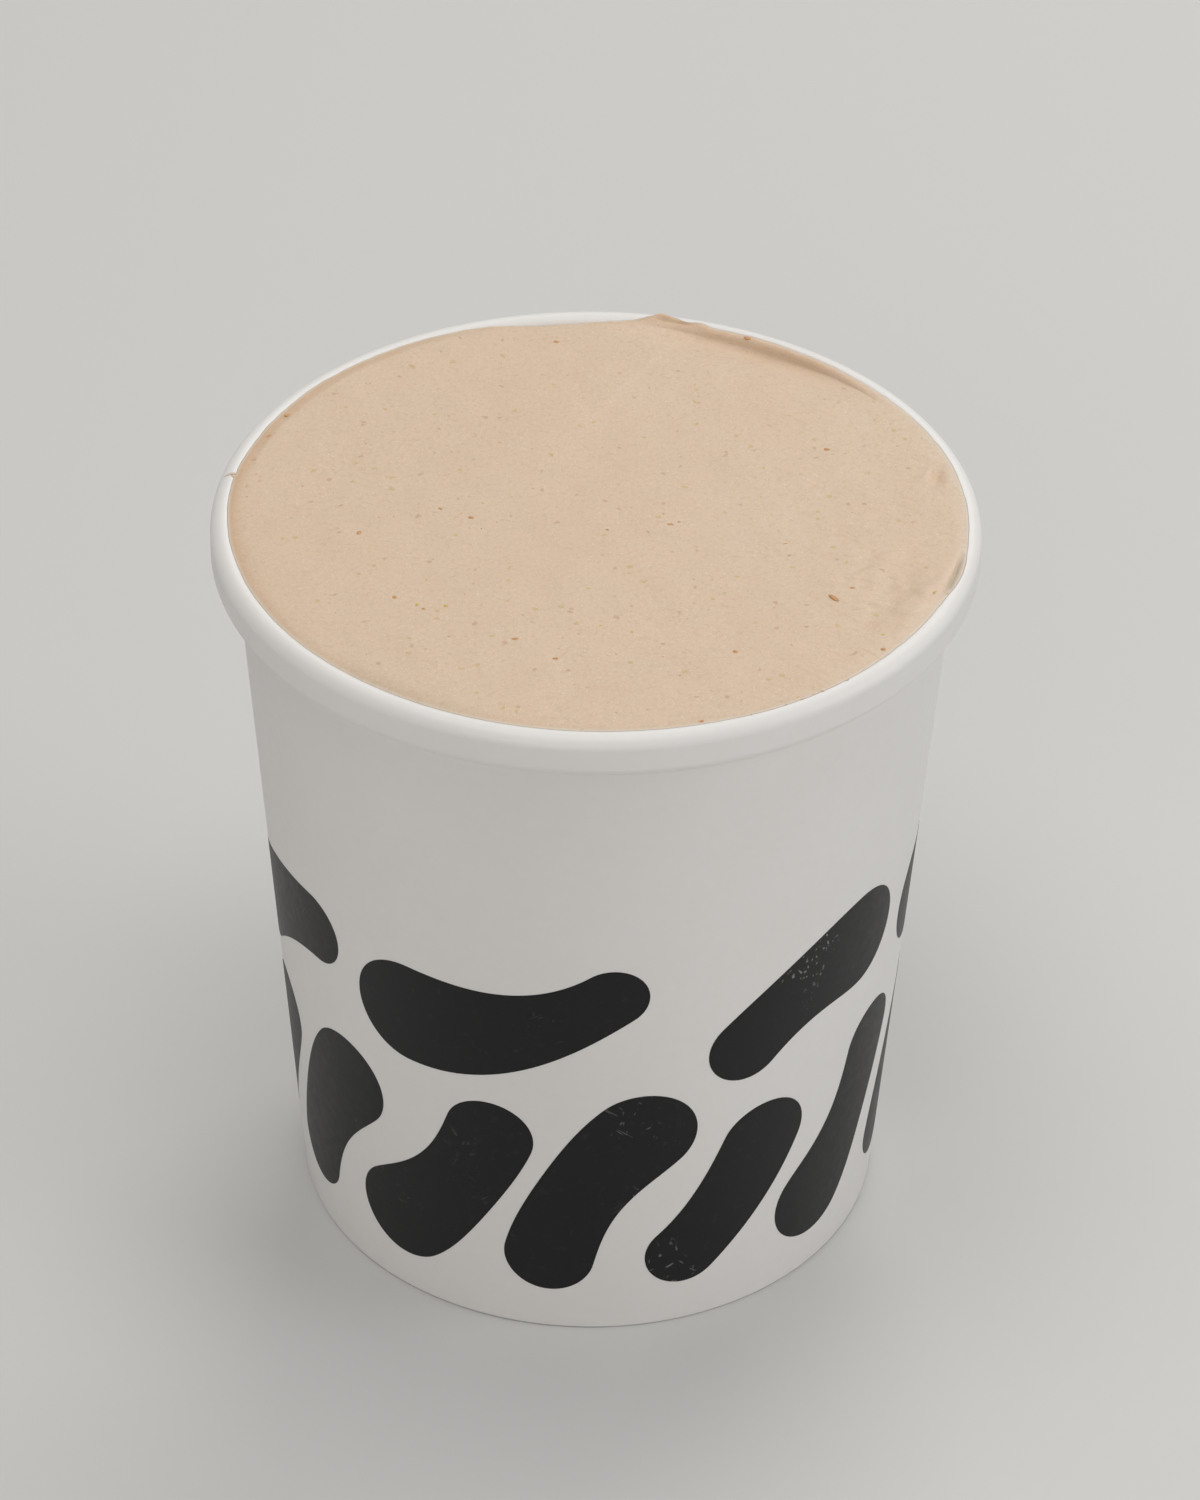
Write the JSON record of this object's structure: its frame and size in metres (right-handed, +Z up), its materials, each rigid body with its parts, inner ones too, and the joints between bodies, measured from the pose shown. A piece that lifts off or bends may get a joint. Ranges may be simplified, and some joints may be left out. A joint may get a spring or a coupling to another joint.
{
  "type": "ice cream pint",
  "caption": "Open round paper cup with a tapered wall, rolled rim and recessed base, filled to the brim with smoothed pale ice cream.",
  "frame": {"origin": "middle of the circle the cup rests on, at the bottom of the hem", "axes": "+Z up along the cup's axis; -Y towards the viewer, with the side seam at the back on +Y; +X to the viewer's right"},
  "size_m": [0.0965, 0.0964, 0.1034],
  "materials": {
    "cup_board": "coated white paperboard, faint satin",
    "ice_cream": "frozen cream, soft and slightly moist, matt"
  },
  "bodies": {
    "root": {"cup_sidewall": "cup_board", "cup_base": "cup_board", "ice_cream": "ice_cream"}
  },
  "joints": []
}
